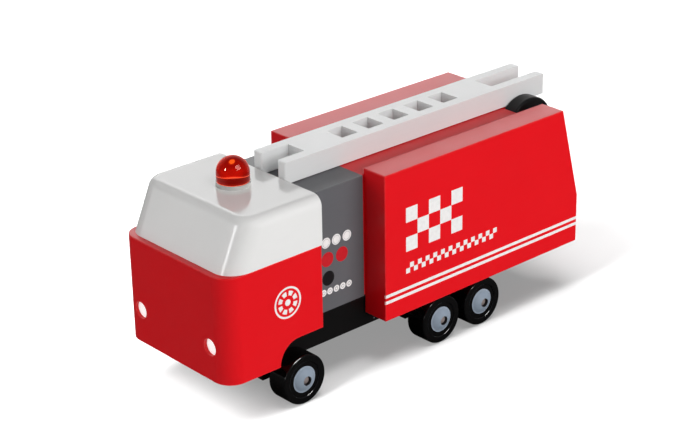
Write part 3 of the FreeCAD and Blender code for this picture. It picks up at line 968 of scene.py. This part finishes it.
def make_floor():
    """A white floor that lights and mirrors less than it shows."""
    mesh = bpy.data.meshes.new("floor")
    made = bmesh.new()
    bmesh.ops.create_grid(made, x_segments=2, y_segments=2, size=FLOOR_SIZE)
    made.to_mesh(mesh)
    made.free()
    floor = bpy.data.objects.new("floor", mesh)
    bpy.context.scene.collection.objects.link(floor)
    material = bpy.data.materials.new("floor_white")
    material.use_nodes = True
    tree = material.node_tree
    tree.nodes.remove(tree.nodes["Principled BSDF"])
    path = tree.nodes.new("ShaderNodeLightPath")
    unseen = mix_shader(
        tree,
        path.outputs["Is Glossy Ray"],
        diffuse(tree, FLOOR_BOUNCE),
        diffuse(tree, FLOOR_MIRRORED),
    )
    place = tree.nodes.new("ShaderNodeNewGeometry")
    away = vector_maths(tree, "LENGTH", place.outputs["Position"])
    glow = tree.nodes.new("ShaderNodeEmission")
    strength = remap(
        tree, away, FLOOR_NEAR, FLOOR_FAR, FLOOR_GLOW_NEAR, FLOOR_GLOW_FAR
    )
    connect(tree, strength, glow.inputs["Strength"])
    lifted = tree.nodes.new("ShaderNodeAddShader")
    tree.links.new(diffuse(tree, FLOOR_SEEN), lifted.inputs[0])
    tree.links.new(glow.outputs[0], lifted.inputs[1])
    surface = mix_shader(tree, seen_ray(tree, path), unseen, lifted.outputs[0])
    tree.links.new(surface, tree.nodes["Material Output"].inputs["Surface"])
    mesh.materials.append(material)
    return floor


def make_world():
    """A white backdrop that gives much less light than it shows."""
    world = bpy.data.worlds.new("studio")
    bpy.context.scene.world = world
    world.use_nodes = True
    tree = world.node_tree
    path = tree.nodes.new("ShaderNodeLightPath")
    lighting = tree.nodes["Background"]
    lighting.inputs["Strength"].default_value = WORLD_STRENGTH
    backdrop = tree.nodes.new("ShaderNodeBackground")
    backdrop.inputs["Strength"].default_value = 1.0
    for white in (lighting, backdrop):
        white.inputs["Color"].default_value = (1, 1, 1, 1)
    coordinates = tree.nodes.new("ShaderNodeTexCoord")
    facing = vector_maths(
        tree, "DOT_PRODUCT", coordinates.outputs["Generated"], STUDIO_SIDE
    )
    behind = remap(tree, facing, *STUDIO_COSINES, STUDIO_GLOSS, 0.0)
    seen = maths(
        tree,
        "MAXIMUM",
        seen_ray(tree, path),
        maths(tree, "MULTIPLY", path.outputs["Is Glossy Ray"], behind),
    )
    surface = mix_shader(tree, seen, lighting.outputs[0], backdrop.outputs[0])
    tree.links.new(surface, tree.nodes["World Output"].inputs["Surface"])


floor = make_floor()
make_world()

# ------------------------------------------------------------------ lamps
LAMP_AIM = Vector((0, 0, 0.05))


def lit(name, members, link_state="INCLUDE"):
    """A collection for light linking: a lamp lights only its members, or all others."""
    linked = bpy.data.collections.new(name)
    for member in members:
        linked.objects.link(member)
    for entry in linked.collection_objects:
        entry.light_linking.link_state = link_state
    return linked


def cad_pieces(prefix):
    """The CAD nodes whose names start with the prefix."""
    return [cad for name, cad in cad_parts.items() if name.startswith(prefix)]


def softbox(name, direction, distance, size, radiance, receivers, unseen=()):
    """A rectangular area lamp that faces the engine from a direction.

    Seen directly, it would just render white at a radiance of 1. It lights the
    receivers, and the kinds of rays in unseen miss it.
    """
    width, height = size
    data = bpy.data.lights.new(name, "AREA")
    data.shape = "RECTANGLE"
    data.size = width
    data.size_y = height
    data.energy = radiance * math.pi * width * height
    lamp = bpy.data.objects.new(name, data)
    bpy.context.scene.collection.objects.link(lamp)
    towards = Vector(direction).normalized()
    lamp.location = LAMP_AIM + towards * distance
    lamp.rotation_mode = "QUATERNION"
    lamp.rotation_quaternion = towards.to_track_quat("Z", "Y")
    lamp.visible_camera = False
    for kind in unseen:
        setattr(lamp, f"visible_{kind}", False)
    lamp.light_linking.receiver_collection = receivers


ladder = cad_pieces("ladder_")
off_beacon = lit("all_but_floor_and_beacon", [floor, dome], "EXCLUDE")
off_ladder = lit("all_but_floor_beacon_and_ladder", [floor, dome, *ladder], "EXCLUDE")
on_beacon = lit("beacon_only", [dome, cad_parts["beacon_base"]])
on_tyres = lit("tyres_only", cad_pieces("tyre_"))
on_ladder = lit("ladder_only", ladder)
on_floor = lit("floor_only", [floor])

FLOOR_UNSEEN = ["glossy", "transmission"]
for lamp in (
    # name, direction, distance, size, radiance, receivers and unseen
    ("key", (0.0, 0.66, 0.75), 1.4, (0.33, 0.33), 6.5, off_beacon),
    # broad soft light on the near side, which reaches the ladder from higher up
    ("fill", (-0.2, 0.92, 0.27), 1.3, (1.5, 0.7), 4.7, off_ladder, ["glossy"]),
    ("high", (-0.12, 0.87, 0.48), 1.3, (1.5, 0.8), 3.4, on_ladder, ["glossy"]),
    ("front", (0.89, -0.33, 0.3), 1.6, (1.7, 0.8), 2.15, off_beacon),
    # reflections only: in the windscreen, on upward faces and on rounded edges
    ("window", (0.958, -0.03, 0.29), 1.5, (0.3, 0.3), 7.0, off_beacon, ["diffuse"]),
    ("rear", (-0.61, -0.68, 0.42), 1.6, (1.8, 1.1), 1.9, off_beacon, ["diffuse"]),
    ("overhead", (0.02, -0.58, 0.81), 1.6, (2.0, 1.3), 1.3, off_beacon, ["diffuse"]),
    # the sides that the photograph's camera does not see
    ("far", (-0.12, -0.99, 0.04), 1.4, (1.5, 0.7), 3.2, off_beacon, ["glossy"]),
    ("back", (-0.99, -0.02, 0.03), 1.4, (1.0, 0.7), 3.4, off_beacon, ["glossy"]),
    # the beacon's two highlights, and the tyres'
    ("spark", (0.79, -0.11, 0.453), 1.4, (0.2, 0.36), 120.0, on_beacon, ["diffuse"]),
    ("shine", (-0.097, 0.747, 0.75), 1.4, (0.85, 0.85), 24.0, on_beacon, ["diffuse"]),
    ("glint", (-0.03, 0.63, 0.785), 1.4, (0.85, 0.22), 60.0, on_tyres, ["diffuse"]),
    # the floor's own, which clip it to white outside the engine's shadow
    ("floor_over", (0.08, 0.05, 0.99), 2.0, (1.5, 1.2), 11.4, on_floor, FLOOR_UNSEEN),
    ("floor_front", (0.74, 0.0, 0.68), 2.0, (0.6, 1.15), 42.0, on_floor, FLOOR_UNSEEN),
):
    softbox(*lamp)

bpy.context.scene.view_settings.view_transform = "Standard"
